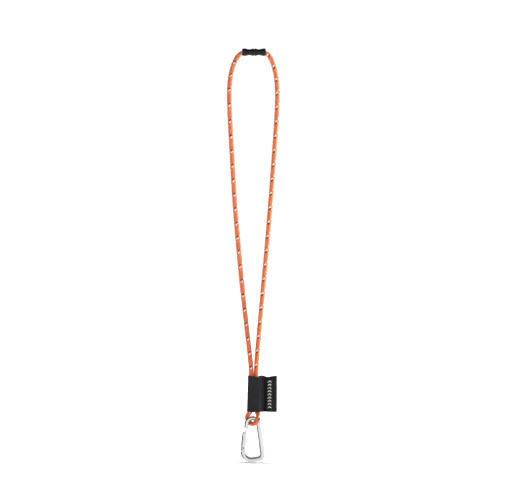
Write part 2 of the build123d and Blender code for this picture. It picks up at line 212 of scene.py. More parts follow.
LOOP = [
    (-0.00295, 0, -0.3715), (-0.00295, 0, -0.3774), (-0.0032, 0.00008, -0.3848),
    (-0.0038, 0.00124, -0.39305), (-0.00719, 0.0045, -0.39561),
    (-0.00746, 0.00591, -0.40038), (-0.00521, 0.00513, -0.4041),
    (-0.00215, 0.00242, -0.40543), (-0.00102, -0.00212, -0.40486),
    (0.00169, -0.00507, -0.40389), (0.00448, -0.00609, -0.4006),
    (0.00502, -0.0049, -0.3957), (0.00299, -0.00001, -0.39202),
    (0.0028, -0.00008, -0.3848), (0.0025, 0, -0.3774), (0.0025, 0, -0.3715),
]
CORD_R = 0.0027


def cord_line(name, points, resolution=48):
    """The points that a NURBS spline through a route gives."""
    curve = bpy.data.curves.new(name, "CURVE")
    curve.dimensions = "3D"
    spline = curve.splines.new("NURBS")
    spline.points.add(len(points) - 1)
    for point, place in zip(spline.points, points):
        point.co = (*place, 1.0)
    spline.order_u = 3
    spline.use_endpoint_u = True
    spline.resolution_u = resolution
    o = new_object(name, curve)
    bpy.context.view_layer.update()
    line = bpy.data.meshes.new_from_object(
        o.evaluated_get(bpy.context.evaluated_depsgraph_get())
    )
    found = np.array([v.co for v in line.vertices], float)
    bpy.data.objects.remove(o)
    bpy.data.meshes.remove(line)
    keep = np.concatenate([[True], np.linalg.norm(np.diff(found, axis=0), axis=1) > 1e-7])
    return found[keep]


def stations(line, step):
    """Even steps along a line: places, tangents and distances from its start."""
    gone = np.concatenate([[0], np.cumsum(np.linalg.norm(np.diff(line, axis=0), axis=1))])
    count = int(round(gone[-1] / step)) + 1
    s = np.linspace(0, gone[-1], count)
    places = np.stack([np.interp(s, gone, line[:, k]) for k in range(3)], 1)
    # even out the small corners between the line's points
    for _ in range(6):
        places[1:-1] = (places[:-2] + 2 * places[1:-1] + places[2:]) / 4
    tangents = np.gradient(places, axis=0)
    tangents /= np.linalg.norm(tangents, axis=1)[:, None]
    return places, tangents, s


def turning_frames(tangents, first_side):
    """A side direction at each station, carried along without twist."""
    side = np.array(first_side, float)
    sides = []
    for t in tangents:
        side = side - t * (side @ t)
        side /= np.linalg.norm(side)
        sides.append(side.copy())
    sides = np.array(sides)
    return sides, np.cross(tangents, sides)


CARRIERS = 8  # each way round


def braid_cells(around, along):
    """Carrier pair, which one is on top, and where in its float a point is."""
    a, b = CARRIERS * (around - along), CARRIERS * (around + along)
    i, j = np.floor(a), np.floor(b)
    over_a = np.mod(i + j, 4) < 2
    in_float = np.where(over_a, np.mod(i + b, 4), np.mod(a + j, 4) - 2) / 2
    across = np.where(over_a, a - i, b - j)
    return i, j, over_a, np.clip(in_float, 0, 1), across


def braid_tube(name, line, radius_at, pitch, offset, turn, first_side, drift=None):
    """A round braid round a line: one closed mesh whose yarns stand proud of each other."""
    step, ring = 0.00030, 76
    places, tangents, s = stations(line, step)
    sides, others = turning_frames(tangents, first_side)
    angle = np.arange(ring) / ring * 2 * math.pi
    around = angle[None, :] / (2 * math.pi) + turn
    slip = np.interp(s, *drift) if drift else 0 * s
    along = ((s - offset - slip) / pitch)[:, None]
    around, along = np.broadcast_arrays(around, along)
    i, j, over_a, in_float, across = braid_cells(around, along)
    crown = np.sin(math.pi * in_float) ** 0.55
    belly = np.clip(1 - np.abs(2 * across - 1) ** 2.4, 0, 1) ** 0.6
    relief = 0.00022 * (crown * (0.35 + 0.65 * belly) - 0.62)
    base = np.array([radius_at(x) for x in s])[:, None]
    radius = base + relief * (base / CORD_R)
    # a made-up unevenness, the same in each run
    wave = 0.00003 * (
        np.sin(s * 2 * math.pi / 0.0123 + 0.7) + np.sin(s * 2 * math.pi / 0.0071 + 2.1)
    )
    radius = radius + wave[:, None]
    cos_a, sin_a = np.cos(angle), np.sin(angle)
    shape_u = radius * cos_a[None, :]
    shape_v = radius * sin_a[None, :]
    points = (
        places[:, None, :]
        + sides[:, None, :] * shape_u[:, :, None]
        + others[:, None, :] * shape_v[:, :, None]
    ).reshape(-1, 3)
    rows = len(s)
    first, last = len(points), len(points) + 1
    points = np.vstack([points, places[0], places[-1]])
    faces = []
    for r in range(rows - 1):
        for c in range(ring):
            d = (c + 1) % ring
            faces.append((r * ring + c, r * ring + d, (r + 1) * ring + d, (r + 1) * ring + c))
    for c in range(ring):
        d = (c + 1) % ring
        faces.append((first, d, c))
        faces.append((last, (rows - 1) * ring + c, (rows - 1) * ring + d))
    o = mesh_from(name, points, faces)
    # where each point is on the braid, for the yarn pattern
    layer = o.data.uv_layers.new(name="braid")
    corner_vertex = np.empty(len(o.data.loops), int)
    o.data.loops.foreach_get("vertex_index", corner_vertex)
    u = np.append(around.reshape(-1), [turn, turn])
    v = np.append(along.reshape(-1), [along[0, 0], along[-1, 0]])
    uu, vv = u[corner_vertex], v[corner_vertex]
    # the last face of each ring closes onto the next turn
    total = np.empty(len(o.data.polygons), int)
    o.data.polygons.foreach_get("loop_total", total)
    owner = np.repeat(np.arange(len(total)), total)
    highest = np.full(len(total), -1e9)
    np.maximum.at(highest, owner, uu)
    uu = np.where(highest[owner] - uu > 0.5, uu + 1, uu)
    layer.data.foreach_set("uv", np.stack([uu, vv], 1).reshape(-1).astype(np.float32))
    return o, places


# ------------------------------------------------------------------ cord material
def braid_material(name, white, dark):
    """Orange braid with one white and one dark yarn beside each other; these give their carriers."""
    material, tree, shader = new_material(name)
    links, nodes = tree.links, tree.nodes
    uv = nodes.new("ShaderNodeUVMap")
    uv.uv_map = "braid"
    split = nodes.new("ShaderNodeSeparateXYZ")
    links.new(uv.outputs["UV"], split.inputs[0])
    x, y = split.outputs[0], split.outputs[1]
    a = math_node(tree, "MULTIPLY", math_node(tree, "SUBTRACT", x, y), CARRIERS)
    b = math_node(tree, "MULTIPLY", math_node(tree, "ADD", x, y), CARRIERS)
    i, j = math_node(tree, "FLOOR", a), math_node(tree, "FLOOR", b)
    fa, fb = math_node(tree, "SUBTRACT", a, i), math_node(tree, "SUBTRACT", b, j)
    cell = math_node(tree, "FLOORED_MODULO", math_node(tree, "ADD", i, j), 4.0)
    over_a = math_node(tree, "LESS_THAN", cell, 1.5)
    in_a = math_node(tree, "FLOORED_MODULO", math_node(tree, "ADD", i, b), 4.0)
    in_b = math_node(tree, "FLOORED_MODULO", math_node(tree, "ADD", a, j), 4.0)
    in_b = math_node(tree, "SUBTRACT", in_b, 2.0)

    def choose(when, otherwise):
        node = nodes.new("ShaderNodeMix")
        sockets = {s.identifier: s for s in node.inputs}
        links.new(over_a, sockets["Factor_Float"])
        links.new(otherwise, sockets["A_Float"])
        links.new(when, sockets["B_Float"])
        return next(o for o in node.outputs if o.identifier == "Result_Float")

    across = choose(fa, fb)
    in_float = math_node(tree, "MULTIPLY", choose(in_a, in_b), 0.5, clamp=True)
    # which carrier is this, 0 to 7
    number = math_node(tree, "FLOORED_MODULO", i, float(CARRIERS))

    def is_carrier(n):
        near = math_node(tree, "COMPARE", number, float(n), 0.25)
        return math_node(tree, "MULTIPLY", near, over_a)

    # three ends of yarn lie side by side in each carrier
    ends = math_node(tree, "MULTIPLY", across, 3.0)
    ends_in = math_node(tree, "FRACT", ends)
    end_round = math_node(tree, "SINE", math_node(tree, "MULTIPLY", ends_in, math.pi))
    crown = math_node(tree, "SINE", math_node(tree, "MULTIPLY", in_float, math.pi))
    crown = math_node(tree, "POWER", math_node(tree, "MAXIMUM", crown, 0.0001), 0.6)
    # twist of the filaments in each end
    twist = math_node(
        tree, "SINE",
        math_node(
            tree, "MULTIPLY",
            math_node(tree, "ADD", math_node(tree, "MULTIPLY", in_float, 5.0), ends_in),
            2 * math.pi,
        ),
    )
    fine = noise(tree, object_vector(tree), 5200.0, 4.0, 0.65)
    patch = noise(tree, object_vector(tree), 260.0, 2.0, 0.5)
    # colour: painted shade, darker in the grooves and between the yarn ends, and paler on the crowns
    orange = ramp(
        tree, crown,
        [(0.0, (0.36, 0.035, 0.010)), (0.45, (0.64, 0.125, 0.046)), (1.0, (0.78, 0.240, 0.105))],
    )
    # painted shade between the yarn ends
    orange = mix_colour(
        tree,
        math_node(tree, "MULTIPLY", math_node(tree, "SUBTRACT", 1.0, end_round), 0.42),
        orange, (0.45, 0.04, 0.01),
    )
    speck = math_node(tree, "MULTIPLY", fine.outputs["Fac"], 0.5)
    orange = mix_colour(tree, speck, orange, (0.88, 0.335, 0.155), "MIX")
    orange = mix_colour(
        tree, math_node(tree, "MULTIPLY", patch.outputs["Fac"], 0.28), orange, (0.66, 0.07, 0.016)
    )
    # painted light: towards the sleeve and in the loop the cord is painted a richer, more saturated orange, standing
    # in for the light there
    height_of = nodes.new("ShaderNodeSeparateXYZ")
    links.new(object_vector(tree), height_of.inputs[0])
    painted_deeper_orange = nodes.new("ShaderNodeMapRange")
    painted_deeper_orange.interpolation_type = "SMOOTHSTEP"
    painted_deeper_orange.inputs["From Min"].default_value, painted_deeper_orange.inputs["From Max"].default_value = -0.250, -0.385
    painted_deeper_orange.inputs["To Min"].default_value, painted_deeper_orange.inputs["To Max"].default_value = 0.0, 0.75
    links.new(height_of.outputs[2], painted_deeper_orange.inputs["Value"])
    orange = mix_colour(tree, painted_deeper_orange.outputs["Result"], orange, (0.86, 0.130, 0.034))
    # painted shade: the white yarn is darker between its ends
    pale = mix_colour(
        tree, math_node(tree, "MULTIPLY", math_node(tree, "SUBTRACT", 1.0, end_round), 0.35),
        (0.92, 0.88, 0.80), (0.52, 0.42, 0.34),
    )
    # painted shade and highlight: the dark yarn is darker between its ends and lighter along their middles
    deep = mix_colour(
        tree, math_node(tree, "MULTIPLY", end_round, 0.7),
        (0.012, 0.012, 0.014), (0.055, 0.055, 0.06),
    )
    colour = mix_colour(tree, is_carrier(white), orange, pale)
    colour = mix_colour(tree, is_carrier(dark), colour, deep)
    links.new(colour, shader.inputs["Base Color"])
    rough = math_node(tree, "MULTIPLY_ADD", fine.outputs["Fac"], 0.22, 0.52)
    links.new(rough, shader.inputs["Roughness"])
    shader.inputs["Specular IOR Level"].default_value = 0.35
    shader.inputs["Sheen Weight"].default_value = 0.6
    shader.inputs["Sheen Roughness"].default_value = 0.45
    shader.inputs["Sheen Tint"].default_value = (1.0, 0.80, 0.62, 1.0)
    shader.inputs["Subsurface Weight"].default_value = 0.0
    height = math_node(
        tree, "ADD",
        math_node(tree, "MULTIPLY", end_round, 0.55),
        math_node(
            tree, "ADD",
            math_node(tree, "MULTIPLY", twist, 0.10),
            math_node(tree, "MULTIPLY", fine.outputs["Fac"], 0.35),
        ),
    )
    bump(tree, shader, height, 0.00009, 0.9)
    return material


# ------------------------------------------------------------------ cords
def near_clip(x):
    """The cord is squeezed where the clip's mouth holds it."""
    t = min(max((x - 0.0050) / 0.0075, 0.0), 1.0)
    t = t * t * (3 - 2 * t)
    return 0.00213 + (CORD_R - 0.00008 - 0.00213) * t


def full_size(x):
    return CORD_R - 0.00010


FRONT = 1.5 / 16  # braid position of the middle of a float
left_line = cord_line("left_line", LEG_LEFT)
right_line = cord_line("right_line", LEG_RIGHT)
loop_line = cord_line("loop_line", LOOP)

# The left leg starts out along -X and turns down; its front faces -Y.
cord_left, left_path = braid_tube(
    "braid_left_leg", left_line, near_clip, 0.01587, 0.05206 + 0.01587 / 32, FRONT, (0, -1, 0),
    # how far the braid's lay runs ahead of an even one, at distances from the clip
    ([0.005, 0.019, 0.035, 0.052, 0.068, 0.084, 0.100, 0.116, 0.200, 0.226, 0.260, 0.380],
     [-0.0005, -0.0011, -0.0028, -0.0025, -0.0017, 0.0001, 0.0010, 0.0012, 0.0008, -0.0003, 0, -0.0004]),
)
cord_right, right_path = braid_tube(
    "braid_right_leg", right_line, near_clip, 0.01564, 0.05354 + 0.01564 / 32, FRONT - 0.03, (0, -1, 0),
    ([0.002, 0.007, 0.022, 0.038, 0.055], [0.0036, 0.0034, 0.0021, 0.0007, 0]),
)
cord_loop, loop_path = braid_tube(
    "braid_lower_loop", loop_line, full_size, 0.0157, 0.004, FRONT, (0, -1, 0)
)
left_material = braid_material("braid_orange_a", 0, 1)
right_material = braid_material("braid_orange_b", 1, 0)
for piece, material in (
    (cord_left, left_material), (cord_right, right_material), (cord_loop, left_material),
):
    paint(piece, material)


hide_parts("cord_left_leg")
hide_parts("cord_right_leg")
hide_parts("cord_lower_loop")
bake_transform(cord_left)
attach(cord_right, "lanyard")
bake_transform(cord_loop)


# ------------------------------------------------------------------ plastics, metals
def plastic_material(name, base, rough):
    material, tree, shader = new_material(name)
    vector = object_vector(tree)
    grain = noise(tree, vector, 2600.0, 5.0, 0.6)
    broad = noise(tree, vector, 180.0, 3.0, 0.55)
    lighter = tuple(min(1, c * 2.1 + 0.004) for c in base)
    colour = mix_colour(tree, broad.outputs["Fac"], base, lighter)
    tree.links.new(colour, shader.inputs["Base Color"])
    tree.links.new(
        math_node(tree, "MULTIPLY_ADD", broad.outputs["Fac"], 0.18, rough - 0.09),
        shader.inputs["Roughness"],
    )
    shader.inputs["Specular IOR Level"].default_value = 0.34
    bump(tree, shader, grain.outputs["Fac"], 0.00002, 0.35)
    return material


def metal_material(name, base, rough, scratch=0.10):
    """Bright metal with fine polishing marks and a few longer scratches."""
    material, tree, shader = new_material(name)
    vector = object_vector(tree, (1, 1, 0.12))
    marks = noise(tree, vector, 4200.0, 4.0, 0.7)
    smudge = noise(tree, object_vector(tree), 130.0, 3.0, 0.6)
    scratched = noise(tree, object_vector(tree, (1, 1, 0.05), (0, 0.35, 0.2)), 900.0, 2.0, 0.5)
    lines = ramp(tree, scratched.outputs["Fac"], [(0.0, (0, 0, 0)), (0.66, (0, 0, 0)), (0.74, (1, 1, 1))])
    darker = tuple(c * 0.93 for c in base)
    colour = mix_colour(tree, smudge.outputs["Fac"], base, darker)
    tree.links.new(colour, shader.inputs["Base Color"])
    shader.inputs["Metallic"].default_value = 1.0
    value = math_node(tree, "MULTIPLY_ADD", smudge.outputs["Fac"], 0.10, rough - 0.05)
    value = math_node(tree, "MULTIPLY_ADD", lines, scratch, value)
    tree.links.new(value, shader.inputs["Roughness"])
    height = math_node(tree, "ADD", marks.outputs["Fac"], math_node(tree, "MULTIPLY", lines, -0.5))
    bump(tree, shader, height, 0.000004, 0.6)
    return material


clip_black = plastic_material("clip_black_plastic", (0.004, 0.004, 0.0045), 0.34)
aluminium = metal_material("polished_aluminium", (0.93, 0.93, 0.94), 0.13)
gate_metal = metal_material("gate_aluminium", (0.91, 0.91, 0.92), 0.18)
steel = metal_material("bright_steel", (0.66, 0.65, 0.63), 0.22)
for node in ("clip_plug_half", "clip_socket_half"):
    paint(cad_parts[node], clip_black)
paint(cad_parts["carabiner_body"], aluminium)
paint(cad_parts["gate"], gate_metal)
for node in (
    "hinge_rivet", "latch_pin", "spring_plunger", "gate_spring", "crimp_clamp",
    "ferrule_left", "ferrule_right",
):
    paint(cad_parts[node], steel)

# ------------------------------------------------------------------ cloth
def rounded(points, radii, spacing):
    """An open outline in plan with its corners rounded, in even steps."""
    points = [np.array(p, float) for p in points]
    out = [points[0]]
    for before, corner, after, radius in zip(points[:-2], points[1:-1], points[2:], radii):
        a = (before - corner) / np.linalg.norm(before - corner)
        b = (after - corner) / np.linalg.norm(after - corner)
        half = math.acos(max(-1, min(1, float(a @ b)))) / 2
        reach = radius / math.tan(half)
        middle = (a + b) / np.linalg.norm(a + b)
        centre = corner + middle * radius / math.sin(half)
        start, end = corner + a * reach, corner + b * reach
        for t in np.linspace(0, 1, 14):
            p = start * (1 - t) + end * t - centre
            out.append(centre + p / np.linalg.norm(p) * radius)
    out.append(points[-1])
    out = np.array(out)
    gone = np.concatenate([[0], np.cumsum(np.linalg.norm(np.diff(out, axis=0), axis=1))])
    even = np.linspace(0, gone[-1], int(gone[-1] / spacing) + 1)
    return np.stack([np.interp(even, gone, out[:, k]) for k in range(2)], 1), gone[-1]


def grid_normals(grid):
    across = np.gradient(grid, axis=1)
    along = np.gradient(grid, axis=0)
    n = np.cross(across, along)
    return n / np.maximum(np.linalg.norm(n, axis=2), 1e-12)[:, :, None]


def thick_sheet(name, grid, thickness, uv, swell=0.42):
    """A cloth of even thickness with rounded edges, from a grid of its middle surface."""
    rows, cols = grid.shape[:2]
    normal = grid_normals(grid)
    front = grid + normal * thickness / 2
    back = grid - normal * thickness / 2
    border = (
        [(0, c) for c in range(cols)] + [(r, cols - 1) for r in range(1, rows)]
        + [(rows - 1, c) for c in range(cols - 2, -1, -1)] + [(r, 0) for r in range(rows - 2, 0, -1)]
    )
    points = [*front.reshape(-1, 3), *back.reshape(-1, 3)]
    where = [*uv.reshape(-1, 2), *uv.reshape(-1, 2)]
    n = rows * cols
    rim = {}
    for r, c in border:
        r2, c2 = min(max(r, 1), rows - 2), min(max(c, 1), cols - 2)
        out = grid[r, c] - grid[r2, c2]
        out = out / max(np.linalg.norm(out), 1e-12)
        rim[(r, c)] = len(points)
        points.append(grid[r, c] + out * thickness * swell)
        where.append(uv[r, c])
    faces = []
    for r in range(rows - 1):
        for c in range(cols - 1):
            a, b, d, e = r * cols + c, r * cols + c + 1, (r + 1) * cols + c + 1, (r + 1) * cols + c
            faces.append((a, b, d, e))
            faces.append((n + e, n + d, n + b, n + a))
    for k in range(len(border)):
        p, q = border[k], border[(k + 1) % len(border)]
        fp, fq = p[0] * cols + p[1], q[0] * cols + q[1]
        faces.append((fq, fp, rim[p], rim[q]))
        faces.append((rim[q], rim[p], n + fp, n + fq))
    o = mesh_from(name, points, faces)
    layer = o.data.uv_layers.new(name="weave")
    corner_vertex = np.empty(len(o.data.loops), int)
    o.data.loops.foreach_get("vertex_index", corner_vertex)
    layer.data.foreach_set("uv", np.array(where, np.float32)[corner_vertex].reshape(-1))
    return o


def smooth_wave(x, z, seed, size):
    """A gentle made-up unevenness, the same in each run."""
    r = np.random.default_rng(seed)
    total = 0
    for k in range(7):
        angle, phase = r.uniform(0, math.pi), r.uniform(0, 2 * math.pi)
        length = size * r.uniform(0.6, 1.9)
        total = total + np.sin(
            (x * math.cos(angle) + z * math.sin(angle)) * 2 * math.pi / length + phase
        )
    return total / 7


SLEEVE_TOP, SLEEVE_BOTTOM = -0.3524, -0.3917
SLEEVE_T = 0.00070
rows = 120
heights = np.linspace(0, 1, rows)
sleeve_rows, sleeve_length = [], 0
for h in heights:
    left = -0.0076 + (-0.0065 + 0.0076) * h + 0.00036
    deep = 0.0054 + (0.0044 - 0.0054) * h - 0.00036
    outline, sleeve_length = rounded(
        [
            (0.01055, -0.00089), (0.0087, -0.00089), (0.0062, -deep), (left, -deep + 0.0002),
            (left, deep - 0.0002), (0.0062, deep), (0.0087, 0.00089), (0.01055, 0.00089),
        ],
        [0.0010, 0.0020, 0.0028, 0.0028, 0.0020, 0.0010],
        0.00028,
    )
    sleeve_rows.append((outline, sleeve_length))
count = 176
grid = np.zeros((rows, count, 3))
where = np.zeros((rows, count, 2))
for r, (outline, length) in enumerate(sleeve_rows):
    t = np.linspace(0, 1, len(outline))
    even = np.linspace(0, 1, count)
    x, y = np.interp(even, t, outline[:, 0]), np.interp(even, t, outline[:, 1])
    # the edges of the cloth dip between the places where the cords and the seam hold them
    top = np.interp(
        x, [-0.0072, -0.0040, -0.0005, 0.0036, 0.0062, 0.0085, 0.0106],
        [-0.3524, -0.3530, -0.3538, -0.3547, -0.3535, -0.3526, -0.3530],
    )
    top = np.where(y > 0, top * 0.4 + (-0.3526) * 0.6, top)
    bottom = SLEEVE_BOTTOM + 0.00018 * np.sin(x * 700) + np.where(y > 0, 0.0003, 0)
    z = bottom + (top - bottom) * heights[r]
    grid[r, :, 0], grid[r, :, 1], grid[r, :, 2] = x, y, z
    where[r, :, 0], where[r, :, 1] = even * length * 1000, heights[r] * 39.3
for _ in range(8):
    grid[1:-1, :, 2] = (grid[:-2, :, 2] + 2 * grid[1:-1, :, 2] + grid[2:, :, 2]) / 4
for _ in range(6):
    grid[:, 1:-1, :2] = (grid[:, :-2, :2] + 2 * grid[:, 1:-1, :2] + grid[:, 2:, :2]) / 4
n = grid_normals(grid)
distance = where[:, :, 0] / 1000
crease = smooth_wave(distance, grid[:, :, 2], 11, 0.016) * 0.00030
crease += smooth_wave(distance, grid[:, :, 2], 12, 0.006) * 0.00008
# held still at the seam, where it is sewn
loose = np.clip((0.0080 - grid[:, :, 0]) / 0.004, 0, 1)
# the rims fall in a little towards the cords
falling = np.clip(1 - np.abs(heights - 1) / 0.10, 0, 1) ** 2
fall = falling[:, None] * np.clip(1 - np.abs(grid[:, :, 0] - 0.001) / 0.006, 0, 1) * 0.00035
grid = grid + n * ((crease - 0.00012) * loose - fall * loose)[:, :, None]
sleeve = thick_sheet("sleeve_cloth", grid, SLEEVE_T, where)
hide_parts("sleeve_wrap")

# the label: one tape folded double, its fold on the right
FLAG_PLAN = [(0.00895, 0.0), (0.0116, 0.0), (0.0155, -0.0037), (0.0250, -0.0009)]
spine, spine_length = rounded(FLAG_PLAN, [0.0032, 0.0020], 0.00020)
spine_at = np.linspace(0, 1, len(spine)) * spine_length


def label_place(distance, z, offset):
    """A point on the label, so far from its sewn edge and so far in front of its middle."""
    d = np.clip(distance, 0, spine_length)
    x, y = np.interp(d, spine_at, spine[:, 0]), np.interp(d, spine_at, spine[:, 1])
    step = 0.0002
    x2 = np.interp(np.clip(d + step, 0, spine_length), spine_at, spine[:, 0])
    y2 = np.interp(np.clip(d + step, 0, spine_length), spine_at, spine[:, 1])
    x1 = np.interp(np.clip(d - step, 0, spine_length), spine_at, spine[:, 0])
    y1 = np.interp(np.clip(d - step, 0, spine_length), spine_at, spine[:, 1])
    tx, ty = x2 - x1, y2 - y1
    size = np.maximum(np.hypot(tx, ty), 1e-12)
    tx, ty = tx / size, ty / size
    # the tape leans and ripples a little along its height
    share = d / spine_length
    ripple = smooth_wave(d, z, 21, 0.014) * 0.00022 * share
    return np.stack([x + ty * (offset + ripple), y - tx * (offset + ripple), z + 0 * x], -1)


LABEL_T, LABEL_GAP = 0.00040, 0.00028
rows = 110
heights = np.linspace(0, 1, rows)
fold_end = spine_length - 0.0004
layer_d = np.linspace(0.0, fold_end, 84)
turn = np.linspace(-90, 90, 15)[1:-1]
distances = np.concatenate([layer_d, fold_end + 0 * turn, layer_d[::-1]])
offsets = np.concatenate([layer_d * 0 + LABEL_GAP, LABEL_GAP * -np.sin(np.radians(turn)), layer_d * 0 - LABEL_GAP])
beyond = np.concatenate([layer_d * 0, LABEL_GAP * np.cos(np.radians(turn)), layer_d * 0])
grid = np.zeros((rows, len(distances), 3))
where = np.zeros((rows, len(distances), 2))
end_dir = spine[-1] - spine[-6]
end_dir = end_dir / np.linalg.norm(end_dir)
cut = np.cumsum(np.concatenate([[0], np.abs(np.diff(distances)) + np.abs(np.diff(offsets))]))
for r, h in enumerate(heights):
    x_at = np.interp(np.clip(distances, 0, spine_length), spine_at, spine[:, 0])
    top = np.interp(
        x_at, [0.009, 0.0110, 0.0132, 0.0150, 0.0185, 0.0250],
        [-0.3530, -0.3533, -0.3540, -0.3543, -0.3536, -0.3529],
    )
    top = top + np.where(offsets < 0, 0.0004, 0.0)
    bottom = -0.3918 + 0.00012 * np.sin(x_at * 500) + np.where(offsets < 0, 0.0002, 0.0)
    z = bottom + (top - bottom) * h
    # the two layers part a little at the cut ends
    part = 1 + 0.5 * (abs(2 * h - 1) ** 6) * np.clip(distances / spine_length * 2 - 0.6, 0, 1)
    grid[r] = label_place(distances, z, offsets * part)
    grid[r, :, 0] += end_dir[0] * beyond
    grid[r, :, 1] += end_dir[1] * beyond
    where[r, :, 0], where[r, :, 1] = cut * 1000, h * 39.0
for _ in range(8):
    grid[1:-1, :, 2] = (grid[:-2, :, 2] + 2 * grid[1:-1, :, 2] + grid[2:, :, 2]) / 4
label = thick_sheet("label_tape", grid, LABEL_T, where)
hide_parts("label_flag")


def woven_material(name, dark, light, pitch, rough, depth):
    """Plain weave: threads of the given pitch in millimetres, over and under each other."""
    material, tree, shader = new_material(name)
    nodes, links = tree.nodes, tree.links
    uv = nodes.new("ShaderNodeUVMap")
    uv.uv_map = "weave"
    split = nodes.new("ShaderNodeSeparateXYZ")
    links.new(uv.outputs["UV"], split.inputs[0])
    u = math_node(tree, "MULTIPLY", split.outputs[0], 1 / pitch)
    v = math_node(tree, "MULTIPLY", split.outputs[1], 1 / pitch)
    iu, iv = math_node(tree, "FLOOR", u), math_node(tree, "FLOOR", v)
    fu, fv = math_node(tree, "SUBTRACT", u, iu), math_node(tree, "SUBTRACT", v, iv)
    odd = math_node(tree, "FLOORED_MODULO", math_node(tree, "ADD", iu, iv), 2.0)

    def hump(f):
        return math_node(tree, "SINE", math_node(tree, "MULTIPLY", f, math.pi))

    warp = math_node(tree, "MULTIPLY", math_node(tree, "POWER", hump(fu), 0.6), hump(fv))
    weft = math_node(tree, "MULTIPLY", math_node(tree, "POWER", hump(fv), 0.6), hump(fu))
    pick = nodes.new("ShaderNodeMix")
    sockets = {s.identifier: s for s in pick.inputs}
    links.new(odd, sockets["Factor_Float"])
    links.new(warp, sockets["A_Float"])
    links.new(weft, sockets["B_Float"])
    height = next(o for o in pick.outputs if o.identifier == "Result_Float")
    fine = noise(tree, object_vector(tree), 6000.0, 4.0, 0.7)
    broad = noise(tree, object_vector(tree), 150.0, 4.0, 0.6)
    # painted shade: the weave is darker where the threads dip under each other and lighter on their crowns; the fine
    # noise adds random tone
    share = math_node(tree, "MULTIPLY", height, 0.75)
    share = math_node(tree, "MULTIPLY_ADD", fine.outputs["Fac"], 0.35, share)
    colour = mix_colour(tree, share, dark, light)
    faded = tuple(min(1, c * 1.35) for c in light)
    colour = mix_colour(tree, math_node(tree, "MULTIPLY", broad.outputs["Fac"], 0.35), colour, faded)
    links.new(colour, shader.inputs["Base Color"])
    links.new(math_node(tree, "MULTIPLY_ADD", fine.outputs["Fac"], 0.12, rough - 0.06), shader.inputs["Roughness"])
    shader.inputs["Specular IOR Level"].default_value = 0.25
    shader.inputs["Sheen Weight"].default_value = 0.15
    shader.inputs["Sheen Roughness"].default_value = 0.4
    tall = math_node(tree, "MULTIPLY_ADD", fine.outputs["Fac"], 0.3, height)
    bump(tree, shader, tall, depth, 1.0)
    return material


paint(sleeve, woven_material("sleeve_canvas", (0.010, 0.010, 0.012), (0.034, 0.034, 0.040), 0.42, 0.86, 0.00010))
paint(label, woven_material("label_taffeta", (0.003, 0.003, 0.0035), (0.011, 0.011, 0.012), 0.24, 0.74, 0.00005))
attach(sleeve, "lanyard")
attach(label, "lanyard")


# ------------------------------------------------------------------ threads
def thread_tube(path, radius, sides, flat=1.0, up=None):
    """Points and faces of a closed thread along a short path, its ends rounded off."""
    path = np.array(path, float)
    tangents = np.gradient(path, axis=0)
    tangents /= np.linalg.norm(tangents, axis=1)[:, None]
    guide = np.array(up if up is not None else (0, -1, 0), float)
    n = len(path)
    points, faces = [], []
    for k in range(n):
        t = tangents[k]
        high = guide - t * (guide @ t)
        high /= np.linalg.norm(high)
        wide = np.cross(t, high)
        end = min(k, n - 1 - k)
        r = radius * (0.55 if end == 0 else 0.9 if end == 1 else 1.0)
        for m in range(sides):
            q = 2 * math.pi * m / sides
            points.append(path[k] + wide * math.cos(q) * r + high * math.sin(q) * r * flat)
    for k in range(n - 1):
        for m in range(sides):
            e = (m + 1) % sides
            faces.append((k * sides + m, k * sides + e, (k + 1) * sides + e, (k + 1) * sides + m))
    points += [path[0] - tangents[0] * radius * 0.35, path[-1] + tangents[-1] * radius * 0.35]
    for m in range(sides):
        e = (m + 1) % sides
        faces.append((n * sides, e, m))
        faces.append((n * sides + 1, (n - 1) * sides + m, (n - 1) * sides + e))
    return points, faces


def gather(name, tubes):
    points, faces = [], []
    for p, f in tubes:
        base = len(points)
        points += list(p)
        faces += [tuple(i + base for i in face) for face in f]
    return mesh_from(name, points, faces)


# the label's woven mark: a column of chevrons, in short floats of pale yarn
MARK_AT, MARK_WIDE, MARK_PITCH, MARK_ROWS = 0.00915, 0.0037, 0.0035, 9
tubes = []
for c in range(MARK_ROWS):
    z_mid = -0.3728 + (c - (MARK_ROWS - 1) / 2) * MARK_PITCH
    for h in np.arange(-0.00118, 0.00142, 0.00022):
        rise = MARK_WIDE / 2 / 0.0016
        start = np.clip((h + 0.00015) * rise, 0, MARK_WIDE / 2) - MARK_WIDE / 2
        end = np.clip((h + 0.00125) * rise, 0, MARK_WIDE / 2) - MARK_WIDE / 2
        if end - start < 0.00025:
            continue
        for side in (-1, 1):
            jitter = rng.uniform(-0.00003, 0.00003, 2)
            d = MARK_AT + side * np.linspace(start + jitter[0], end + jitter[1], 7)
            bow = np.sin(np.linspace(0, math.pi, 7)) ** 0.5
            offset = LABEL_GAP + LABEL_T / 2 + 0.00001 + 0.00007 * bow
            p = label_place(d, z_mid + h + 0 * d, offset)
            tubes.append(thread_tube(p, 0.00011, 7, 0.7))
mark = gather("label_woven_mark", tubes)
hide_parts("label_mark")
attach(mark, "lanyard")

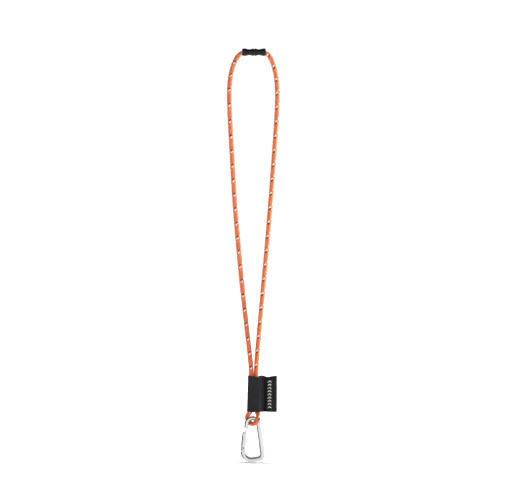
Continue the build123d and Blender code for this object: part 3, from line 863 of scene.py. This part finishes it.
# lock stitches down the seam, two plies to each thread
tubes = []
seam_x, seam_mid = 0.0096, (SLEEVE_TOP + SLEEVE_BOTTOM) / 2
for side in (-1, 1):
    for c in range(12):
        z0 = seam_mid + (c - 5.5) * 0.0031 + rng.uniform(-0.00008, 0.00008)
        lean = rng.uniform(-0.00010, 0.00010)
        t = np.linspace(-1, 1, 15)
        lift = 0.00125 + 0.00026 * np.clip(1 - np.abs(t) ** 3.2, 0, 1) - 0.00034 * np.abs(t) ** 8
        for ply in (0, 1):
            spin = t * 5.2 + ply * math.pi
            p = np.stack(
                [
                    seam_x + lean * t + 0.00008 * np.cos(spin),
                    side * (lift + 0.00005 * np.sin(spin)),
                    z0 + t * 0.00112,
                ],
                1,
            )
            tubes.append(thread_tube(p, 0.00012, 8, 1.0, (0, side, 0)))
stitches = gather("seam_lock_stitches", tubes)
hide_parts("seam_stitching")
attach(stitches, "lanyard")


def thread_material(name, base, light, rough):
    material, tree, shader = new_material(name)
    fine = noise(tree, object_vector(tree), 7000.0, 3.0, 0.6)
    broad = noise(tree, object_vector(tree), 900.0, 2.0, 0.5)
    share = math_node(tree, "MULTIPLY_ADD", fine.outputs["Fac"], 0.6, math_node(tree, "MULTIPLY", broad.outputs["Fac"], 0.3))
    tree.links.new(mix_colour(tree, share, base, light), shader.inputs["Base Color"])
    tree.links.new(math_node(tree, "MULTIPLY_ADD", fine.outputs["Fac"], 0.2, rough - 0.1), shader.inputs["Roughness"])
    shader.inputs["Sheen Weight"].default_value = 0.2
    bump(tree, shader, fine.outputs["Fac"], 0.00003, 0.8)
    return material


paint(mark, thread_material("mark_yarn", (0.60, 0.59, 0.58), (0.90, 0.89, 0.87), 0.6))
paint(stitches, thread_material("seam_yarn", (0.010, 0.010, 0.011), (0.030, 0.030, 0.032), 0.55))

# the gate's return spring, which shortens between the gate and the plunger as the gate opens
SPRING_FROM, SPRING_TO = Vector((-0.0112914, 0, -0.42644)), Vector((-0.0106858, 0, -0.419627))
axis = (SPRING_TO - SPRING_FROM).normalized()
side_a = Vector((0, 1, 0))
side_b = axis.cross(side_a)
turns = np.linspace(0, 1, 9 * 28 + 1)
# the end coils lie closer together, as ground ends do
rise = turns - 0.045 * np.sin(2 * math.pi * turns)
coil = [
    SPRING_FROM.lerp(SPRING_TO, float(h))
    + (side_a * math.cos(18 * math.pi * t) + side_b * math.sin(18 * math.pi * t)) * 0.00084
    for t, h in zip(turns, rise)
]
spring = gather("gate_return_spring", [thread_tube(coil, 0.00015, 12, 1.0, tuple(axis))])
paint(spring, steel)
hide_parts("gate_spring")
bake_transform(spring)

# ------------------------------------------------------------------ stage
FLOOR_NEAR = 0.0
lo, hi = cad_box
floor_z = lo.z - 0.0001
floor = mesh_from(
    "floor",
    [(-6, -6, floor_z), (6, -6, floor_z), (6, 8, floor_z), (-6, 8, floor_z)],
    [(0, 1, 2, 3)],
    smooth=False,
)
floor_mat, tree, shader = new_material("floor_white")
speckle = noise(tree, object_vector(tree), 60.0, 2.0, 0.5)
tree.links.new(
    mix_colour(tree, speckle.outputs["Fac"], (0.90, 0.90, 0.90), (0.93, 0.93, 0.93)),
    shader.inputs["Base Color"],
)
shader.inputs["Roughness"].default_value = 0.9
shader.inputs["Emission Color"].default_value = (1, 1, 1, 1)
# painted light: the floor glows, a little below white round the object, where its shadow falls, and white beyond
near = tree.nodes.new("ShaderNodeVectorMath")
near.operation = "LENGTH"
tree.links.new(object_vector(tree, (1, 0.7, 0)), near.inputs[0])
glow = tree.nodes.new("ShaderNodeMapRange")
glow.interpolation_type = "SMOOTHSTEP"
glow.inputs["From Min"].default_value, glow.inputs["From Max"].default_value = 0.07, 0.40
glow.inputs["To Min"].default_value, glow.inputs["To Max"].default_value = FLOOR_NEAR, 1.3
tree.links.new(near.outputs["Value"], glow.inputs["Value"])
tree.links.new(glow.outputs["Result"], shader.inputs["Emission Strength"])
paint(floor, floor_mat)
# reflections see the room's own level below the horizon, not the floor's painted glow
floor.visible_glossy = False

world = bpy.data.worlds.new("studio")
scene.world = world
world.use_nodes = True
wt = world.node_tree
wt.nodes.clear()
w_out = wt.nodes.new("ShaderNodeOutputWorld")
w_fill = wt.nodes.new("ShaderNodeBackground")
w_seen = wt.nodes.new("ShaderNodeBackground")
w_seen.inputs["Color"].default_value = (1, 1, 1, 1)
w_seen.inputs["Strength"].default_value = 1.05
w_mix = wt.nodes.new("ShaderNodeMixShader")
w_path = wt.nodes.new("ShaderNodeLightPath")
w_place = wt.nodes.new("ShaderNodeTexCoord")


def sky_level(direction, edges, levels):
    """A grey that goes from one level to the other with the angle from a direction."""
    dot = wt.nodes.new("ShaderNodeVectorMath")
    dot.operation = "DOT_PRODUCT"
    dot.inputs[1].default_value = direction
    wt.links.new(w_place.outputs["Generated"], dot.inputs[0])
    node = wt.nodes.new("ShaderNodeMapRange")
    node.interpolation_type = "SMOOTHSTEP"
    node.inputs["From Min"].default_value, node.inputs["From Max"].default_value = edges
    node.inputs["To Min"].default_value, node.inputs["To Max"].default_value = levels
    wt.links.new(dot.outputs["Value"], node.inputs["Value"])
    return node.outputs["Result"]


# a bright room with a dim side on the left, a dim ceiling and, for reflections, a dark
# card behind on the left
dim_left = sky_level((-0.90, -0.43, 0.0), (0.0, 0.80), (0.64, 0.05))
dim_above = sky_level((0.0, 0.0, 1.0), (0.04, 0.66), (1.0, 0.12))
soft_level = math_node(wt, "MULTIPLY", dim_left, dim_above)
card = sky_level((-0.966, 0.26, 0.0), (0.52, 0.80), (1.12, 0.02))
low = sky_level((0.0, 0.0, -1.0), (0.10, 0.70), (1.0, 0.78))
glossy_level = math_node(wt, "MULTIPLY", math_node(wt, "MULTIPLY", card, low), dim_above)
pick = wt.nodes.new("ShaderNodeMix")
ids = {s.identifier: s for s in pick.inputs}
wt.links.new(w_path.outputs["Is Glossy Ray"], ids["Factor_Float"])
wt.links.new(soft_level, ids["A_Float"])
wt.links.new(glossy_level, ids["B_Float"])
level = next(o for o in pick.outputs if o.identifier == "Result_Float")
wt.links.new(level, w_fill.inputs["Strength"])
wt.links.new(w_path.outputs["Is Camera Ray"], w_mix.inputs[0])
wt.links.new(w_fill.outputs[0], w_mix.inputs[1])
wt.links.new(w_seen.outputs[0], w_mix.inputs[2])
wt.links.new(w_mix.outputs[0], w_out.inputs["Surface"])


def area_light(name, place, target, size, power, colour=(1, 1, 1)):
    data = bpy.data.lights.new(name, "AREA")
    data.shape = "RECTANGLE"
    data.size, data.size_y = size
    data.energy = power
    data.color = colour
    o = bpy.data.objects.new(name, data)
    scene.collection.objects.link(o)
    o.location = place
    o.rotation_mode = "QUATERNION"
    o.rotation_quaternion = (Vector(target) - Vector(place)).to_track_quat("-Z", "Y")
    return o


key = area_light("key_right", (1.65, 0.25, -0.1), (0, 0, -0.22), (0.6, 1.2), 85, (1.0, 0.98, 0.90))
key.visible_glossy = False
over = area_light("floor_light", (-0.03, 0.11, 0.95), (0, 0, -0.45), (0.24, 0.24), 17.5)
over.visible_glossy = False
# the overhead light is for the floor and its contact shadow only
only_floor = bpy.data.collections.new("lit_from_above")
only_floor.objects.link(floor)
over.light_linking.receiver_collection = only_floor
